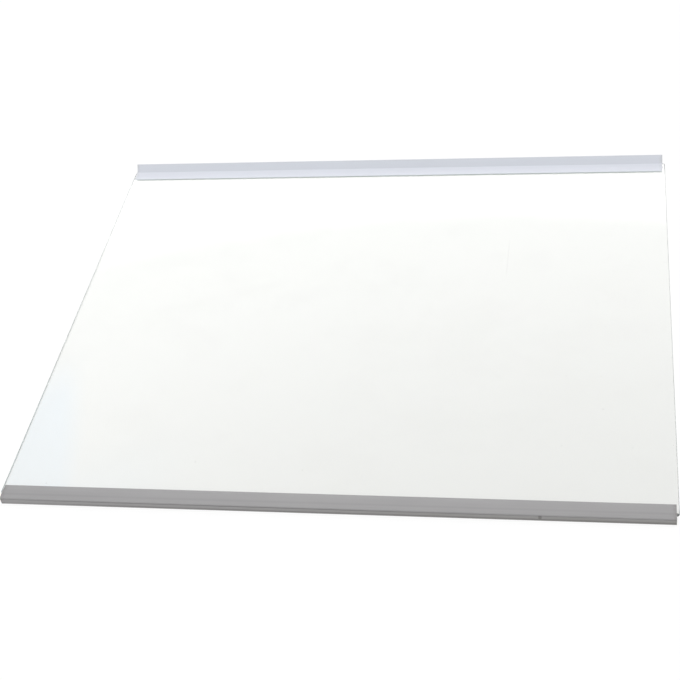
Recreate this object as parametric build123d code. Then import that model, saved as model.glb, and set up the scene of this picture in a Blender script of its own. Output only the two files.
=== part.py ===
"""Refrigerator shelf: a toughened glass pane held by an extruded trim along its front and rear edges.

Millimetres. X runs across the shelf, +Y to the rear, +Z up. The shelf rests on its two trims.
Each trim's section is drawn in the trim's own plane: x is measured from the pane's edge
towards the middle of the pane, and y is the height above the shelf's underside.
"""
from build123d import *
import os
from math import cos, radians, sin

# Glass pane
glass_width = 475.5
glass_depth = 390.0
glass_thickness = 3.2
glass_corner_radius = 2.0
glass_bevel = 0.4

# Sizes that both trims share
trim_side_inset = 2.0
trim_wall = 1.2
flange_tip_thickness = 0.7
flange_tip_radius = 0.3
lead_in_chamfer = 0.25
glass_end_gap = 0.2

# Grip ribs, which hold the pane clear of the channel's walls
rib_height = 0.2
rib_width = 0.8
rib_flank_angle = 60.0
rib_inset = 1.6

# Front trim
front_grip_above = 7.4
front_grip_below = 5.5
front_wall = 1.2
stop_wall = 1.0
chamber_depth = 3.4
chamber_radius = 0.5
nose_top_radius = 0.5
nose_base_radius = 0.4
groove_drop = 1.2
groove_width = 0.7
groove_depth = 0.35

# Rear trim
rear_grip_above = 12.6
rear_grip_below = 9.5
back_wall = 1.2
back_corner_radius = 0.5
lip_setback = 2.6
lip_length = 7.5
lip_thickness = 1.3
lip_lean = 38.0
lip_tip_radius = 0.6
lip_crease_radius = 0.4
lip_root_radius = 0.6

# Heights and lengths that follow
glass_base = trim_wall + rib_height
slot_top = trim_wall + rib_height + glass_thickness + rib_height
trim_height = slot_top + trim_wall
trim_length = glass_width - 2 * trim_side_inset


def corner(section, x, y):
    """The corner of a section that lies nearest to a point."""
    return section.vertices().sort_by_distance((x, y, 0))[0]


def grip_section(end_wall, grip_above, grip_below, thin_from):
    """The channel that grips one edge of the pane.

    The upper flange keeps its full wall as far as thin_from, and thins from there to its tip.
    The tips are rounded outside and chamfered inside, so that the pane slides in, and small
    ribs on both flanges bear on the glass.
    """
    outer = -(glass_end_gap + end_wall)
    tip_top = slot_top + flange_tip_thickness
    taper = TangentArc((thin_from, trim_height), (grip_above, tip_top), tangent=(1, 0))
    walls = Polyline(
        (grip_above, tip_top),
        (grip_above, slot_top),
        (-glass_end_gap, slot_top),
        (-glass_end_gap, trim_wall),
        (grip_below, trim_wall),
        (grip_below, 0),
        (outer, 0),
        (outer, trim_height),
        (thin_from, trim_height),
    )
    section = make_face(taper.edges() + walls.edges())

    outer_tips = [corner(section, grip_above, tip_top), corner(section, grip_below, 0)]
    section = fillet(outer_tips, flange_tip_radius)
    inner_tips = [corner(section, grip_above, slot_top), corner(section, grip_below, trim_wall)]
    section = chamfer(inner_tips, lead_in_chamfer)

    rib = Trapezoid(rib_width, rib_height, rib_flank_angle, align=(Align.CENTER, Align.MIN))
    for x in (rib_inset, grip_above - rib_inset):
        section += Pos(x, slot_top) * Rot(0, 0, 180) * rib
    for x in (rib_inset, grip_below - rib_inset):
        section += Pos(x, trim_wall) * rib
    return section


def front_section():
    """Front trim: the grip with a hollow nose, whose face carries one fine groove."""
    stop_face = -(glass_end_gap + stop_wall)
    nose_face = stop_face - chamber_depth - front_wall
    low_corner = (Align.MIN, Align.MIN)

    section = grip_section(stop_wall, front_grip_above, front_grip_below, thin_from=0)
    section += Pos(nose_face, 0) * Rectangle(stop_face - nose_face, trim_height, align=low_corner)
    chamber_height = slot_top - trim_wall
    section -= Pos(nose_face + front_wall, trim_wall) * RectangleRounded(
        chamber_depth, chamber_height, chamber_radius, align=low_corner
    )

    groove_height = trim_height - groove_drop
    groove = Polygon(
        (nose_face, groove_height + groove_width / 2),
        (nose_face, groove_height - groove_width / 2),
        (nose_face + groove_depth, groove_height),
        align=None,
    )
    section -= groove
    section = fillet(corner(section, nose_face, trim_height), nose_top_radius)
    section = fillet(corner(section, nose_face, 0), nose_base_radius)
    return section


def rear_section():
    """Rear trim: the grip with a lip that rises from the upper flange and leans back."""
    section = grip_section(back_wall, rear_grip_above, rear_grip_below, thin_from=lip_setback)
    back_face = -(glass_end_gap + back_wall)
    back_corners = [corner(section, back_face, 0), corner(section, back_face, trim_height)]
    section = fillet(back_corners, back_corner_radius)

    # The lip's foot stops halfway down the wall that is left below its lowest corner
    lean = radians(lip_lean)
    foot = (trim_wall - lip_thickness * sin(lean)) / 2 / cos(lean)
    blade = Rectangle(lip_thickness, lip_length + foot, align=(Align.MAX, Align.MIN))
    blade = fillet(blade.vertices().group_by(Axis.Y)[-1], lip_tip_radius)
    section += Pos(lip_setback, trim_height) * Rot(0, 0, lip_lean) * Pos(0, -foot) * blade

    lip_back = lip_setback - lip_thickness / cos(lean)
    section = fillet(corner(section, lip_setback, trim_height), lip_crease_radius)
    section = fillet(corner(section, lip_back, trim_height), lip_root_radius)
    return section


def glass_pane(front_edge, rear_edge):
    """The pane, with rounded corners and a ground bevel round both faces."""
    middle = Pos(0, (front_edge + rear_edge) / 2, glass_base)
    outline = RectangleRounded(glass_width, rear_edge - front_edge, glass_corner_radius)
    pane = extrude(middle * outline, glass_thickness)
    rims = pane.faces().sort_by(Axis.Z)[0].edges() + pane.faces().sort_by(Axis.Z)[-1].edges()
    return chamfer(rims, glass_bevel)


def trim(section, edge, inward):
    """One length of extrusion along a pane edge at y = edge, cut square at both ends."""
    plane = Plane(origin=(0, edge, 0), x_dir=(0, inward, 0), z_dir=(inward, 0, 0))
    return extrude(plane * section, trim_length / 2, both=True)


def main():
    front_profile = front_section()
    rear_profile = rear_section()

    # The frame's origin is the middle of the whole shelf's footprint
    front_reach = -front_profile.bounding_box().min.X
    rear_reach = -rear_profile.bounding_box().min.X
    front_edge = front_reach - (front_reach + glass_depth + rear_reach) / 2
    rear_edge = front_edge + glass_depth

    nodes = {
        "glass_pane": glass_pane(front_edge, rear_edge),
        "front_trim": trim(front_profile, front_edge, 1),
        "rear_trim": trim(rear_profile, rear_edge, -1),
    }
    os.makedirs("parts", exist_ok=True)
    for name, shape in nodes.items():
        export_step(shape, f"parts/{name}.step")
        box = shape.bounding_box()
        print(name, "volume", round(shape.volume, 1), "from", box.min, "to", box.max)
    print("pane edges at y", round(front_edge, 3), round(rear_edge, 3))


main()
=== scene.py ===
# %% [markdown]
# # A refrigerator's glass shelf
#
# The real shelf is a toughened glass pane with a strip of extruded plastic pushed on along two of its
# edges: a grey one at the front and a pale one with a raised lip at the rear. Its shape is finished
# before this lesson starts, so the lesson is about surfaces: what makes glass look like glass, and what
# makes a flat strip of plastic look extruded, handled and cut with a saw.

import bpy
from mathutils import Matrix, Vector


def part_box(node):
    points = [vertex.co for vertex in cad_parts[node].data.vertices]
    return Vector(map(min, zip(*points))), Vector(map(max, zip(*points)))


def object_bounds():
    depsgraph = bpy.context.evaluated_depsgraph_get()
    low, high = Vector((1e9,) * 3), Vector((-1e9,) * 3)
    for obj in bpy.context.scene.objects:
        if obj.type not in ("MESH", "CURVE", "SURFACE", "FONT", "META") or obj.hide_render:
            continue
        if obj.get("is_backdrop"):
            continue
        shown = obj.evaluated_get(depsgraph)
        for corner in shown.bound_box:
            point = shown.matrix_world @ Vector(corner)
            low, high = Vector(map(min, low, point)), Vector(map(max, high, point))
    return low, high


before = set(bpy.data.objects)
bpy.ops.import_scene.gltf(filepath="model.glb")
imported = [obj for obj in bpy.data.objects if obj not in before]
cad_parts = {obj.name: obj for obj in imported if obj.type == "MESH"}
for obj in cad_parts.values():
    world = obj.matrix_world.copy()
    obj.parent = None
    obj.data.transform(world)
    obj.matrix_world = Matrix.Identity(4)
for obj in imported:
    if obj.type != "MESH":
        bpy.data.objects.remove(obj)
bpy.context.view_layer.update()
print("pieces:", sorted(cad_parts))

# %% Tools and units
import math

import bpy
from mathutils import Matrix, Vector

MM = 0.001
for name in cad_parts:
    low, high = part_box(name)
    size = [round(side / MM, 1) for side in high - low]
    print(name, "is", size, "mm in size and starts at y", round(low.y / MM, 1), "mm")

# %% [markdown]
# ## The camera
#
# The picture to match was taken from in front of the shelf and a little to its right, looking down at
# about 42 degrees with the camera slightly tilted, which is why the front edge runs downhill. A camera
# can be placed by typing in its position, but a point to look at, a distance and three angles are easier
# to understand and to correct. The turns are read from right to left: roll the camera in its own plane,
# tip it up from looking straight down, and swing it round to the side.

# %% The camera
look_at = Vector((-14.05, -24.29, 0.0)) * MM
camera_distance = 1063.5 * MM
camera_elevation = math.radians(42.016)
camera_side_angle = math.radians(14.946)
camera_roll = math.radians(9.727)
sensor_width = 36.0
focal_length = 72.22

swing = Matrix.Rotation(camera_side_angle, 4, "Z")
tip = Matrix.Rotation(math.pi / 2 - camera_elevation, 4, "X")
roll = Matrix.Rotation(-camera_roll, 4, "Z")
step_back = Matrix.Translation((0, 0, camera_distance))

camera_data = bpy.data.cameras.new("camera")
camera_data.sensor_width = sensor_width
camera_data.lens = focal_length
camera = bpy.data.objects.new("camera", camera_data)
camera.matrix_world = Matrix.Translation(look_at) @ swing @ tip @ roll @ step_back
bpy.context.scene.collection.objects.link(camera)
bpy.context.scene.camera = camera
print("camera at", [round(value / MM) for value in camera.matrix_world.translation], "mm")

# %% [markdown]
# ## Small helpers for materials
#
# A procedural material is a chain of small sums on the position of each point. Written node by node
# such a chain is long and hard to read, so these helpers wrap the nodes that come up again and again.
# Each takes plain numbers or the outputs of other nodes, and gives back an output. Most masks below are
# a ramp or a stripe, and where two masks are multiplied, what is left is the place where both are 1.

# %% Helpers: nodes and sums
def add_node(tree, kind, **settings):
    """A new node with the given settings."""
    node = tree.nodes.new(kind)
    for setting, value in settings.items():
        setattr(node, setting, value)
    return node


def feed(tree, socket, value):
    """Gives a socket a plain value, or links it to an output."""
    if isinstance(value, bpy.types.NodeSocket):
        tree.links.new(value, socket)
    else:
        socket.default_value = value


def sum_up(tree, operation, *values):
    """One Math node."""
    node = add_node(tree, "ShaderNodeMath", operation=operation)
    for socket, value in zip(node.inputs, values):
        feed(tree, socket, value)
    return node.outputs[0]


def times(tree, first, *others):
    """The product of two or more values."""
    product = first
    for other in others:
        product = sum_up(tree, "MULTIPLY", product, other)
    return product


# %% Helpers: masks
def ramp(tree, value, start, end, low=0.0, high=1.0):
    """Goes smoothly from low, where value is at start, to high, where it is at end."""
    node = add_node(tree, "ShaderNodeMapRange", interpolation_type="SMOOTHSTEP")
    for socket, number in zip(node.inputs, (value, start, end, low, high)):
        feed(tree, socket, number)
    return node.outputs[0]


def stripe(tree, value, centre, half_width, soft):
    """1 where value is within half_width of centre, and 0 a soft distance further out."""
    away = sum_up(tree, "ABSOLUTE", sum_up(tree, "SUBTRACT", value, centre))
    return ramp(tree, away, half_width + soft, half_width)


# %% Helpers: places and noise
def places(tree):
    """The point's x, y and z on the shelf, in millimetres."""
    where = add_node(tree, "ShaderNodeTexCoord").outputs["Object"]
    scaled = add_node(tree, "ShaderNodeVectorMath", operation="SCALE")
    feed(tree, scaled.inputs[0], where)
    feed(tree, scaled.inputs["Scale"], 1 / MM)
    split = add_node(tree, "ShaderNodeSeparateXYZ")
    feed(tree, split.inputs[0], scaled.outputs[0])
    return split.outputs[0], split.outputs[1], split.outputs[2]


def noise(tree, point, sizes, detail=2.0, roughness=0.5):
    """Noise from 0 to 1 whose blotches measure about sizes, in millimetres along x, y and z."""
    joined = add_node(tree, "ShaderNodeCombineXYZ")
    for socket, value, size in zip(joined.inputs, point, sizes):
        feed(tree, socket, sum_up(tree, "DIVIDE", value, size))
    node = add_node(tree, "ShaderNodeTexNoise")
    feed(tree, node.inputs["Vector"], joined.outputs[0])
    feed(tree, node.inputs["Scale"], 1.0)
    feed(tree, node.inputs["Detail"], detail)
    feed(tree, node.inputs["Roughness"], roughness)
    return node.outputs[0]


# %% Helpers: colours and surfaces
def blend_colours(tree, share, first, second):
    """The first colour, going over to the second as share goes from 0 to 1."""
    node = add_node(tree, "ShaderNodeMix", data_type="RGBA")
    feed(tree, node.inputs["Factor"], share)
    for name, colour in (("A", first), ("B", second)):
        socket = [item for item in node.inputs if item.name == name and item.type == "RGBA"][0]
        feed(tree, socket, colour)
    return [item for item in node.outputs if item.type == "RGBA"][0]


def shaded(colour, factor):
    """A plain colour made darker or lighter by a factor."""
    return [min(channel * factor, 1.0) for channel in colour[:3]] + [1.0]


def bump(tree, height, depth):
    """Tilts the surface as a height from 0 to 1 would, where 1 stands depth millimetres proud."""
    node = add_node(tree, "ShaderNodeBump")
    feed(tree, node.inputs["Height"], height)
    node.inputs["Distance"].default_value = depth * MM
    return node.outputs[0]


def new_finish(name):
    """A material with an empty Principled shader: the material, its node tree and the shader."""
    material = bpy.data.materials.new(name)
    material.use_nodes = True
    shader = material.node_tree.nodes["Principled BSDF"]
    return material, material.node_tree, shader


# %% [markdown]
# ## Extruded plastic
#
# Both trims are plastic pressed through a die, so every mark of the making runs along them: fine dull
# and shiny lines, and wider streaks. Stretching a noise texture hundreds of times along x gives those
# lines for nothing. The ends are sawn: matt, scored, and of another shade than the skin that the die
# left. The few millimetres beside each cut have been handled until they are blotchy. Distances from the
# end make the masks for both, so the same function serves the two trims with other colours.

# %% Finish: streaks left by the die
die_line_size = (420.0, 0.55, 0.55)
wide_line_size = (260.0, 3.2, 3.2)
cloud_size = (38.0, 9.0, 9.0)
streak_range = (0.3, 0.7)


def die_streaks(tree, point):
    """The fine lines by themselves, and the lines, wide streaks and clouds together."""
    fine = noise(tree, point, die_line_size, detail=3.0)
    wide = noise(tree, point, wide_line_size, detail=1.0)
    clouds = noise(tree, point, cloud_size, detail=3.0)
    lines = sum_up(tree, "MULTIPLY_ADD", fine, 0.35, times(tree, wide, 0.3))
    return fine, sum_up(tree, "MULTIPLY_ADD", clouds, 0.35, lines)


# %% Finish: handled and sawn ends
handled_width = 3.6
handled_fully = 0.4
handled_share = 0.45
blotch_size = (1.1, 2.4, 1.6)
saw_cut_depth = 0.15
saw_line_size = (3.0, 0.28, 5.0)
saw_line_share = 0.25
saw_line_height = 2.5
sawn_roughness = 0.7


def handled_end(tree, point, from_end):
    """How much handling has changed the colour beside the ends, from 0 to handled_share."""
    near_end = ramp(tree, from_end, handled_width, handled_fully, 0.0, handled_share)
    blotches = noise(tree, point, blotch_size, detail=2.0)
    return times(tree, near_end, ramp(tree, blotches, 0.35, 0.6, 0.15, 1.0))


# %% Finish: extruded plastic
grain_size = (0.22, 0.16, 0.16)
roughness_spread = 0.05
plastic_ior = 1.49


def extruded_plastic(name, node_name, colour, cut_colour, handled_colour, streak_share, roughness):
    """Satin extruded plastic: the material, its tree, shader and places, and its colour and height."""
    material, tree, shader = new_finish(name)
    point = places(tree)
    end_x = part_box(node_name)[1].x / MM
    from_end = sum_up(tree, "SUBTRACT", end_x, sum_up(tree, "ABSOLUTE", point[0]))
    sawn = ramp(tree, from_end, saw_cut_depth, saw_cut_depth / 3)
    saw_lines = noise(tree, point, saw_line_size, detail=2.0)

    fine, streaks = die_streaks(tree, point)
    darker = shaded(colour, 1 - streak_share)
    lighter = shaded(colour, 1 + streak_share)
    body = blend_colours(tree, ramp(tree, streaks, *streak_range), darker, lighter)
    body = blend_colours(tree, handled_end(tree, point, from_end), body, handled_colour)
    cut_face = blend_colours(tree, times(tree, saw_lines, saw_line_share), cut_colour, darker)
    body = blend_colours(tree, sawn, body, cut_face)

    dullest = roughness + roughness_spread
    shiniest = roughness - roughness_spread
    skin = ramp(tree, streaks, *streak_range, dullest, shiniest)
    feed(tree, shader.inputs["Roughness"], sum_up(tree, "MAXIMUM", skin, times(tree, sawn, sawn_roughness)))
    shader.inputs["IOR"].default_value = plastic_ior

    grain = noise(tree, point, grain_size, detail=2.0)
    height = sum_up(tree, "MULTIPLY_ADD", fine, 0.5, times(tree, grain, 0.5))
    height = sum_up(tree, "MULTIPLY_ADD", times(tree, sawn, saw_lines), saw_line_height, height)
    return material, tree, shader, point, body, height


def put_on(node_name, material, tree, shader, body, height, bump_depth):
    """Connects the colour and the height, and gives the node its finish."""
    feed(tree, shader.inputs["Base Color"], body)
    feed(tree, shader.inputs["Normal"], bump(tree, height, bump_depth))
    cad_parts[node_name].material_slots[0].material = material
    print(node_name, "wears", material.name, "with", len(tree.nodes), "nodes")


# %% [markdown]
# ## The grey front trim
#
# Besides the die's marks, this trim has one shallow sink line where the flange meets the upright wall
# inside, because thick plastic shrinks more as it cools; its dip is shown by a faint line of painted shade.
# Each later mark is one more colour blended over the ones before it, with a mask made from y, z and x
# that keeps it in its place.

# %% Finish: the grey trim
grey = (0.310, 0.304, 0.307, 1.0)
grey_cut = (0.40, 0.40, 0.405, 1.0)
grey_handled = (0.20, 0.185, 0.18, 1.0)
# the dried drop's colour, also used for painted shade in the sink line, the groove and above the foot
dirt_and_shade = (0.10, 0.095, 0.088, 1.0)
sink_line_setback = 4.4
sink_line_shade_share = 0.08
front_low, front_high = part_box("front_trim")
face_y = front_low.y / MM
top_z = front_high.z / MM

front_finish, tree, shader, point, body, height = extruded_plastic(
    "front_trim_grey", "front_trim", grey, grey_cut, grey_handled, streak_share=0.035, roughness=0.42
)
x, y, z = point
on_flange = ramp(tree, z, top_z - 1.0, top_z - 0.8)
# painted shade: a faint darker line on the flange where the sink line dips
sink_line_shade = times(tree, stripe(tree, y, face_y + sink_line_setback, 0.3, 1.1), on_flange)
body = blend_colours(tree, times(tree, sink_line_shade, sink_line_shade_share), body, dirt_and_shade)
print("grey trim: face at y", round(face_y, 1), "mm, sink line", sink_line_setback, "mm behind it")

# %% [markdown]
# ## The front face
#
# The upright face is painted a little paler than the top, as painted light from the front. Below the
# groove it is darker, more so towards the right. Painted shade lies in a dark line in the groove and
# another above the foot, where the face turns towards the floor, and both fade towards the left end.
# One drop has dried on it. Noise bends the drop's outline so that it doesn't look like a rectangle.

# %% Finish: the face painted paler, and darker below the groove
face_painted_light = (0.45, 0.44, 0.44, 1.0)
face_painted_light_share = 0.12
face_darker_colour = (0.20, 0.197, 0.165, 1.0)
face_darker_from_x = -190.0
face_darker_to_x = 190.0
face_darker_share = 0.26
smear_size = (55.0, 2.0, 2.2)
groove_z = top_z - 1.2

in_front = ramp(tree, y, face_y + 0.9, face_y + 0.6)
on_face = times(tree, in_front, ramp(tree, z, top_z - 0.15, top_z - 0.4))
# painted light: the whole face a little paler than the top
body = blend_colours(tree, times(tree, on_face, face_painted_light_share), body, face_painted_light)
# darker below the groove and more so towards the right
below_groove = ramp(tree, z, groove_z + 0.3, groove_z - 0.3)
smears = ramp(tree, noise(tree, point, smear_size, detail=3.0), 0.3, 0.7, 0.7, 1.3)
to_right_end = ramp(tree, x, face_darker_from_x, face_darker_to_x, 0.0, face_darker_share)
body = blend_colours(tree, times(tree, on_face, to_right_end, smears, below_groove), body, face_darker_colour)

# %% Finish: painted shade in the groove and above the foot
left_x = front_low.x / MM
groove_shade_fade_length = 70.0
groove_shade_at_left = 0.1
groove_shade = 0.46
groove_shade_fades = (-60.0, 200.0)
groove_shade_left_over = 0.3
foot_shade_z = 1.6
foot_shade_fade_length = 110.0
foot_shade_at_left = 0.1
foot_shade = 0.42

# painted shade in the groove, less of it towards the left end and fading towards the right
in_groove = times(tree, on_face, stripe(tree, z, groove_z, 0.22, 0.2))
from_left = ramp(tree, x, left_x, left_x + groove_shade_fade_length, groove_shade_at_left, groove_shade)
fading = ramp(tree, x, *groove_shade_fades, 1.0, groove_shade_left_over)
body = blend_colours(tree, times(tree, in_groove, from_left, fading), body, dirt_and_shade)
# painted shade above the foot, where the face turns towards the floor, less of it towards the left end
foot_shade_line = times(tree, on_face, stripe(tree, z, foot_shade_z, 0.4, 0.6))
from_left = ramp(tree, x, left_x, left_x + foot_shade_fade_length, foot_shade_at_left, foot_shade)
body = blend_colours(tree, times(tree, foot_shade_line, from_left), body, dirt_and_shade)
print("dirt lines at z", round(groove_z, 1), "and", foot_shade_z, "mm")

# %% Finish: one dried drop
drop_x = 147.75
drop_z = 3.95
drop_half_width = 0.7
drop_half_height = 1.3
drop_soft_edge = 0.8
drop_share = 0.6
ragged_size = (1.0, 1.0, 0.8)
ragged_by = 0.9

ragged = times(tree, noise(tree, point, ragged_size, detail=3.0), ragged_by)
across = stripe(tree, sum_up(tree, "ADD", x, ragged), drop_x, drop_half_width, drop_soft_edge)
upward = stripe(tree, sum_up(tree, "ADD", z, ragged), drop_z, drop_half_height, drop_soft_edge)
body = blend_colours(tree, times(tree, on_face, across, upward, drop_share), body, dirt_and_shade)
put_on("front_trim", front_finish, tree, shader, body, height, bump_depth=0.012)

# %% [markdown]
# ## The pale rear trim
#
# The same kind of extrusion in a cold white, with the bluish cast that is mixed into white plastics to
# hide yellowing. The flange thins towards its tip, and white plastic under a millimetre thick lets some
# light through, so the tip is painted lighter, as painted light. The strip of flange beside the lip gets
# painted light where the lip shades it, and the lower flange's tip, which only shows through the glass,
# is painted nearly white as painted light. The lip's top edge is rubbed a little duller, and a trace of
# painted shade lies in the crease at its foot.

# %% Finish: the pale trim
pale = (0.69, 0.711, 0.775, 1.0)
pale_painted_light = (0.76, 0.78, 0.84, 1.0)
pale_cut = (0.58, 0.58, 0.60, 1.0)
pale_handled = (0.50, 0.50, 0.48, 1.0)
beside_lip_width = 4.5
beside_lip_light_share = 0.45
rear_low, rear_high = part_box("rear_trim")
tip_y = rear_low.y / MM
crease_y = rear_high.y / MM - 5.5

rear_finish, tree, shader, point, body, height = extruded_plastic(
    "rear_trim_pale", "rear_trim", pale, pale_cut, pale_handled, streak_share=0.012, roughness=0.50
)
x, y, z = point
# painted light: the thin tip lighter, for light that comes through it
body = blend_colours(tree, ramp(tree, y, tip_y + 1.2, tip_y + 0.1), body, pale_painted_light)
# painted light on the flange beside the lip, where the lip shades it
towards_lip = ramp(tree, y, crease_y - beside_lip_width, crease_y - 0.5, 0.0, beside_lip_light_share)
body = blend_colours(tree, times(tree, towards_lip, ramp(tree, z, 6.4, 6.15)), body, pale_painted_light)
print("pale trim: tip at y", round(tip_y, 1), "mm, crease at y", round(crease_y, 1), "mm")

# %% Finish: painted light, a rubbed edge and painted shade on the pale trim
low_tip_painted_light = (0.93, 0.94, 0.95, 1.0)
pale_rubbed = (0.60, 0.585, 0.59, 1.0)
rubbed_share = 0.15
crease_shade = (0.42, 0.42, 0.43, 1.0)
crease_shade_share = 0.05
crease_z = 6.1
lip_top = rear_high.z / MM
low_tip_y = tip_y + 3.1

# painted light: the lower flange's tip nearly white, where it lies in shade under the upper flange
low_tip = times(tree, ramp(tree, z, 1.6, 1.3), ramp(tree, y, low_tip_y + 2.0, low_tip_y + 1.0))
body = blend_colours(tree, low_tip, body, low_tip_painted_light)
rubbed = ramp(tree, z, lip_top - 0.8, lip_top - 0.3, 0.0, rubbed_share)
body = blend_colours(tree, rubbed, body, pale_rubbed)
# painted shade in the crease at the lip's foot
crease = times(tree, stripe(tree, y, crease_y, 0.25, 0.5), stripe(tree, z, crease_z, 0.5, 0.5))
body = blend_colours(tree, times(tree, crease, crease_shade_share), body, crease_shade)
put_on("rear_trim", rear_finish, tree, shader, body, height, bump_depth=0.010)

# %% [markdown]
# ## The glass
#
# Clear glass is hardly there: it shows by what it reflects, by a slight green in what comes through it,
# and by its edges. Those are ground on a wheel, so they scatter light, and because light has run a long
# way through the pane before it comes out there, they are a darker grey-green. Blender's Principled
# shader gives the faces; a mask from the distance to the pane's outline gives the ground edge; and
# absorption inside the volume gives the green, which then grows with the length of the way by itself.
# The ground edge is painted lighter towards the rear and darker towards the front, as painted light and
# shade.

# %% Finish: the glass
glass_low, glass_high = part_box("glass_pane")
bevel = 0.4
bevel_blur = 0.02
clear_tint = (0.995, 1.0, 0.99, 1.0)
ground_tint_lit_rear = (0.97, 0.99, 0.98, 1.0)
ground_tint_shaded_front = (0.80, 0.84, 0.82, 1.0)
ground_roughness = 0.45
smear_size = (60.0, 45.0, 20.0)
smear_roughness = 0.05
glass_ior = 1.52
front_y = glass_low.y / MM
rear_y = glass_high.y / MM
half_width = glass_high.x / MM
half_depth = (rear_y - front_y) / 2

glass_finish, tree, shader = new_finish("clear_glass")
point = places(tree)
x, y, z = point
in_from_side = sum_up(tree, "SUBTRACT", half_width, sum_up(tree, "ABSOLUTE", x))
from_middle = sum_up(tree, "ABSOLUTE", sum_up(tree, "SUBTRACT", y, (front_y + rear_y) / 2))
in_from_end = sum_up(tree, "SUBTRACT", half_depth, from_middle)
in_from_edge = sum_up(tree, "MINIMUM", in_from_side, in_from_end)
ground = ramp(tree, in_from_edge, bevel + bevel_blur, bevel - bevel_blur)
print("glass: ground edge", bevel, "mm wide on a pane", round(2 * half_width, 1), "mm wide")

# %% Finish: clear faces and ground edges
smears = noise(tree, point, smear_size, detail=4.0)
wiped = ramp(tree, smears, 0.5, 0.75, 0.0, smear_roughness)
to_front = ramp(tree, y, rear_y, front_y)
# painted light and shade: the ground edge lighter at the rear, darker at the front
ground_tint = blend_colours(tree, to_front, ground_tint_lit_rear, ground_tint_shaded_front)
dull = sum_up(tree, "MAXIMUM", wiped, times(tree, ground, ground_roughness))
feed(tree, shader.inputs["Roughness"], dull)
feed(tree, shader.inputs["Base Color"], blend_colours(tree, ground, clear_tint, ground_tint))
shader.inputs["IOR"].default_value = glass_ior
shader.inputs["Transmission Weight"].default_value = 1.0

# %% [markdown]
# ## Marks on the glass
#
# A shelf that has been in use carries a thin film in patches, a few crumbs and a scratch. All of them
# are faint here, because the picture shows a shelf that has been wiped. Film is noise with its lower
# half cut away. Crumbs are the middles of a few cells of a Voronoi texture, chosen by the random colour
# that each cell has. The scratch is a stripe whose line wanders a little.

# %% Finish: film, crumbs and a scratch on the pane
glass_top = glass_high.z / MM
film_share = 0.022
crumb_spacing = 26.0
crumb_radius = 0.5
crumbs_kept = 0.3
crumb_share = 0.22
scratch_x = 111.0
scratch_y = 70.0
scratch_half_length = 16.0
scratch_wander = 1.5
wander_size = (30.0, 30.0, 30.0)
scratch_share = 0.06


def specks(tree, point, spacing, radius, kept):
    """Small round specks, one in each cell of about the given spacing, of which a share is kept."""
    joined = add_node(tree, "ShaderNodeCombineXYZ")
    for socket, value in zip(joined.inputs, point[:2]):
        feed(tree, socket, sum_up(tree, "DIVIDE", value, spacing))
    cells = add_node(tree, "ShaderNodeTexVoronoi", voronoi_dimensions="2D")
    feed(tree, cells.inputs["Vector"], joined.outputs[0])
    cells.inputs["Scale"].default_value = 1.0
    speck = ramp(tree, cells.outputs["Distance"], 1.2 * radius / spacing, 0.5 * radius / spacing)
    chance = add_node(tree, "ShaderNodeSeparateColor")
    feed(tree, chance.inputs[0], cells.outputs["Color"])
    return times(tree, speck, sum_up(tree, "LESS_THAN", chance.outputs[0], kept))


film = times(tree, ramp(tree, smears, 0.42, 0.72), film_share)
crumbs = times(tree, specks(tree, point, crumb_spacing, crumb_radius, crumbs_kept), crumb_share)
unshifted_x = sum_up(tree, "SUBTRACT", x, scratch_wander / 2)
line_x = sum_up(tree, "MULTIPLY_ADD", noise(tree, point, wander_size), scratch_wander, unshifted_x)
along = stripe(tree, y, scratch_y, scratch_half_length, scratch_half_length / 2)
scratch = times(tree, stripe(tree, line_x, scratch_x, 0.1, 0.25), along, scratch_share)
marks = sum_up(tree, "MAXIMUM", film, sum_up(tree, "MAXIMUM", crumbs, scratch))
print("marks: crumbs about", crumb_spacing, "mm apart, a scratch", 2 * scratch_half_length, "mm long")

# %% [markdown]
# ## The powdery share
#
# Dust, film and the white bloom of a ground edge aren't clear, so they need a second shader that
# scatters light back, mixed in by its share. The bloom is weaker at the rear edge, and its colour is
# painted light at the rear and painted shade towards the front.

# %% Finish: powdery share of the glass
dust_on_glass = (0.50, 0.48, 0.43, 1.0)
bloom_lit_rear = (0.86, 0.88, 0.87, 1.0)
bloom_shaded_front = (0.34, 0.36, 0.35, 1.0)
bloom_share = 0.35
powder_roughness = 0.6

# painted light and shade: the bloom lighter at the rear, darker at the front
bloom = blend_colours(tree, to_front, bloom_lit_rear, bloom_shaded_front)
powder = add_node(tree, "ShaderNodeBsdfPrincipled")
feed(tree, powder.inputs["Base Color"], blend_colours(tree, ground, dust_on_glass, bloom))
powder.inputs["Roughness"].default_value = powder_roughness
powder.inputs["IOR"].default_value = glass_ior
bloomed = times(tree, ground, ramp(tree, y, rear_y - 3.0, rear_y - 14.0, 0.0, bloom_share))
on_top = ramp(tree, z, glass_top - 0.05, glass_top - 0.02)
share = sum_up(tree, "MAXIMUM", bloomed, times(tree, on_top, marks))
pane = add_node(tree, "ShaderNodeMixShader")
feed(tree, pane.inputs[0], share)
tree.links.new(shader.outputs[0], pane.inputs[1])
tree.links.new(powder.outputs[0], pane.inputs[2])

# %% [markdown]
# ## Light through the glass
#
# Light that a lamp or the sky sends through the pane on its way to the floor is let straight through,
# with the part taken off that a glass surface reflects. Tracing it properly would leave a grainy dark
# patch under the shelf. What the camera sees through the pane is still traced properly.

# %% Finish: light through the glass
through_glass = (0.955, 0.968, 0.958, 1.0)
absorbed_colour = (0.20, 0.60, 0.35, 1.0)
absorption_density = 7.0

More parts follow.
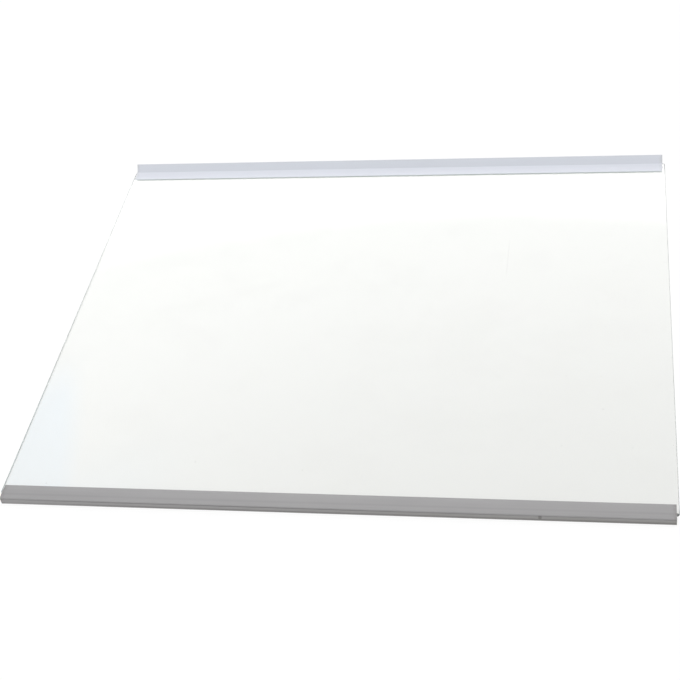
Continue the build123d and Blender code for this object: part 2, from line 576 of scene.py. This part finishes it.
clear = add_node(tree, "ShaderNodeBsdfTransparent")
clear.inputs["Color"].default_value = through_glass
ray = add_node(tree, "ShaderNodeLightPath")
straight = sum_up(tree, "MAXIMUM", ray.outputs["Is Shadow Ray"], ray.outputs["Is Diffuse Ray"])
either = add_node(tree, "ShaderNodeMixShader")
feed(tree, either.inputs[0], straight)
tree.links.new(pane.outputs[0], either.inputs[1])
tree.links.new(clear.outputs[0], either.inputs[2])
inside = add_node(tree, "ShaderNodeVolumeAbsorption")
inside.inputs["Color"].default_value = absorbed_colour
inside.inputs["Density"].default_value = absorption_density
output = tree.nodes["Material Output"]
tree.links.new(either.outputs[0], output.inputs["Surface"])
tree.links.new(inside.outputs[0], output.inputs["Volume"])
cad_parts["glass_pane"].material_slots[0].material = glass_finish
print("glass_pane wears", glass_finish.name, "with", len(tree.nodes), "nodes")

# %% [markdown]
# ## The floor
#
# The shelf lies on white that the picture shows as pure white. A white that is only painted can't
# reach that without so much light that the shelf would be overexposed too. The floor is therefore
# painted, and for what the camera sees it is also lit from within by a share. The painted share still
# darkens where the shelf shades it. Seen through the pane the floor is a little darker than white,
# since the pane takes light away on the way down and again on the way up, so rays that have come
# through the glass meet a weaker glow.

# %% The floor
floor_reach = 60.0
floor_drop = 0.05 * MM
sides = ((-1, -1), (1, -1), (1, 1), (-1, 1))

floor_mesh = bpy.data.meshes.new("floor")
corners = [(side_x * floor_reach, side_y * floor_reach, -floor_drop) for side_x, side_y in sides]
floor_mesh.from_pydata(corners, [], [(0, 1, 2, 3)])
floor = bpy.data.objects.new("floor", floor_mesh)
bpy.context.scene.collection.objects.link(floor)
floor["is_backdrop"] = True
print("floor reaches", floor_reach, "m each way")

# %% Finish: the floor
white = (1.0, 1.0, 1.0, 1.0)
floor_paint = (0.92, 0.92, 0.92, 1.0)
under_glass_colour = (1.008, 0.994, 0.990, 1.0)
glow_in_the_open = 1.03
glow_under_glass = 0.875
glow_share = 0.85

floor_finish, tree, shader = new_finish("floor_white")
tree.nodes.remove(shader)
paint = add_node(tree, "ShaderNodeBsdfDiffuse")
paint.inputs["Color"].default_value = floor_paint
ray = add_node(tree, "ShaderNodeLightPath")
under_glass = ray.outputs["Is Transmission Ray"]
strength = ramp(tree, under_glass, 0.0, 1.0, glow_in_the_open, glow_under_glass)
glow = add_node(tree, "ShaderNodeEmission")
feed(tree, glow.inputs["Strength"], strength)
feed(tree, glow.inputs["Color"], blend_colours(tree, under_glass, white, under_glass_colour))
mirrored = sum_up(tree, "MAXIMUM", ray.outputs["Is Glossy Ray"], under_glass)
looked_at = sum_up(tree, "MAXIMUM", ray.outputs["Is Camera Ray"], mirrored)
seen = add_node(tree, "ShaderNodeMixShader")
feed(tree, seen.inputs[0], times(tree, looked_at, glow_share))
tree.links.new(paint.outputs[0], seen.inputs[1])
tree.links.new(glow.outputs[0], seen.inputs[2])
tree.links.new(seen.outputs[0], tree.nodes["Material Output"].inputs["Surface"])
floor_mesh.materials.append(floor_finish)

# %% [markdown]
# ## Light
#
# The light is soft and comes from all round, and the pane mirrors a bright window behind the shelf:
# the window's foot at its far end and the dimmer part above at its near end, which is why the glass
# fades from white to grey. A world that changes with direction gives all of that at once. A direction
# has three parts: to_right and to_rear run from -1 to 1, and up is 0 at the horizon and 1 overhead.
# The window is a stripe across to_right, and its brightness is a ramp over up, slightly slanted.

# %% The room's light
room_low = 0.75
room_high = 0.95
window_low = 2.0
window_high = 0.35
window_foot = 2.6
window_fades = (0.575, 0.818)
window_slant = 0.07
foot_ends = (0.620, 0.593)
foot_slant = -0.05
window_centre = -0.145
window_half_width = 0.21
window_soft_edge = 0.14
window_sill = (0.44, 0.52)
behind_shelf = (0.3, 0.5)

world = bpy.data.worlds.new("room")
world.use_nodes = True
bpy.context.scene.world = world
tree = world.node_tree
direction = add_node(tree, "ShaderNodeSeparateXYZ")
tree.links.new(add_node(tree, "ShaderNodeTexCoord").outputs["Generated"], direction.inputs[0])
to_right, to_rear, up = direction.outputs

room = ramp(tree, up, 0.3, 1.0, room_low, room_high)
slanted = sum_up(tree, "MULTIPLY_ADD", to_right, window_slant, up)
upper_part = ramp(tree, slanted, *window_fades, window_low, window_high)
slanted = sum_up(tree, "MULTIPLY_ADD", to_right, foot_slant, up)
window = sum_up(tree, "ADD", upper_part, ramp(tree, slanted, *foot_ends, 0.0, window_foot))
print("room", room_low, "to", room_high, "and window", window_high, "to", window_low + window_foot)

# %% The window's place in the room
across = stripe(tree, to_right, window_centre, window_half_width, window_soft_edge)
to_window = ramp(tree, to_rear, *behind_shelf)
level = add_node(tree, "ShaderNodeMix")
feed(tree, level.inputs["Factor"], times(tree, across, ramp(tree, up, *window_sill), to_window))
feed(tree, level.inputs["A"], room)
feed(tree, level.inputs["B"], window)

# %% [markdown]
# ## A bluish patch
#
# At the window's left edge the light is bluish, and the pane mirrors that in its near left corner and,
# weaker, above it. Only the colour changes there. What the camera sees of the world directly is plain
# white, which Is Camera Ray tells apart, so that the picture's ground is white without more light.

# %% The bluish wall beside the window
blue_wall = (0.78, 0.97, 1.2, 1.0)
beside_edge = (-0.365, -0.385)
beside_from = (0.635, 0.665)
above_edge = (-0.28, -0.36)
above_from = (0.685, 0.715)
above_share = 0.4

beside = times(tree, ramp(tree, to_right, *beside_edge), ramp(tree, up, *beside_from))
above = times(tree, ramp(tree, to_right, *above_edge), ramp(tree, up, *above_from), above_share)
bluish = times(tree, sum_up(tree, "MAXIMUM", beside, above), to_window)
tint = blend_colours(tree, bluish, white, blue_wall)
looked_at = add_node(tree, "ShaderNodeLightPath").outputs["Is Camera Ray"]
background = tree.nodes["Background"]
feed(tree, background.inputs["Color"], blend_colours(tree, looked_at, tint, white))
feed(tree, background.inputs["Strength"], sum_up(tree, "MAXIMUM", level.outputs[0], looked_at))
print("world made of", len(tree.nodes), "nodes")

# %% [markdown]
# ## The lamp
#
# A large soft lamp overhead makes what lies flat a little lighter than what stands upright. It is wide,
# so that it casts no hard shadow, and hidden from the camera.

# %% The lamp overhead
lamp_size = 1.2
lamp_power = 7.0

lamp_data = bpy.data.lights.new("overhead", "AREA")
lamp_data.shape = "SQUARE"
lamp_data.size = lamp_size
lamp_data.energy = lamp_power
lamp = bpy.data.objects.new("overhead", lamp_data)
lamp.location = (-0.3, 0.2, 1.9)
lamp.rotation_euler = (-lamp.location).to_track_quat("-Z", "Y").to_euler()
lamp.visible_camera = False
bpy.context.scene.collection.objects.link(lamp)
print("lamp", round(lamp.location.length, 2), "m from the shelf's middle")

# %% [markdown]
# ## The picture
#
# The Standard view shows each colour about as it is written. The sizes before and after the finishes
# went on are kept side by side, to see that nothing has grown.

# %% Picture settings and sizes
bpy.context.scene.view_settings.view_transform = "Standard"
low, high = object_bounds()
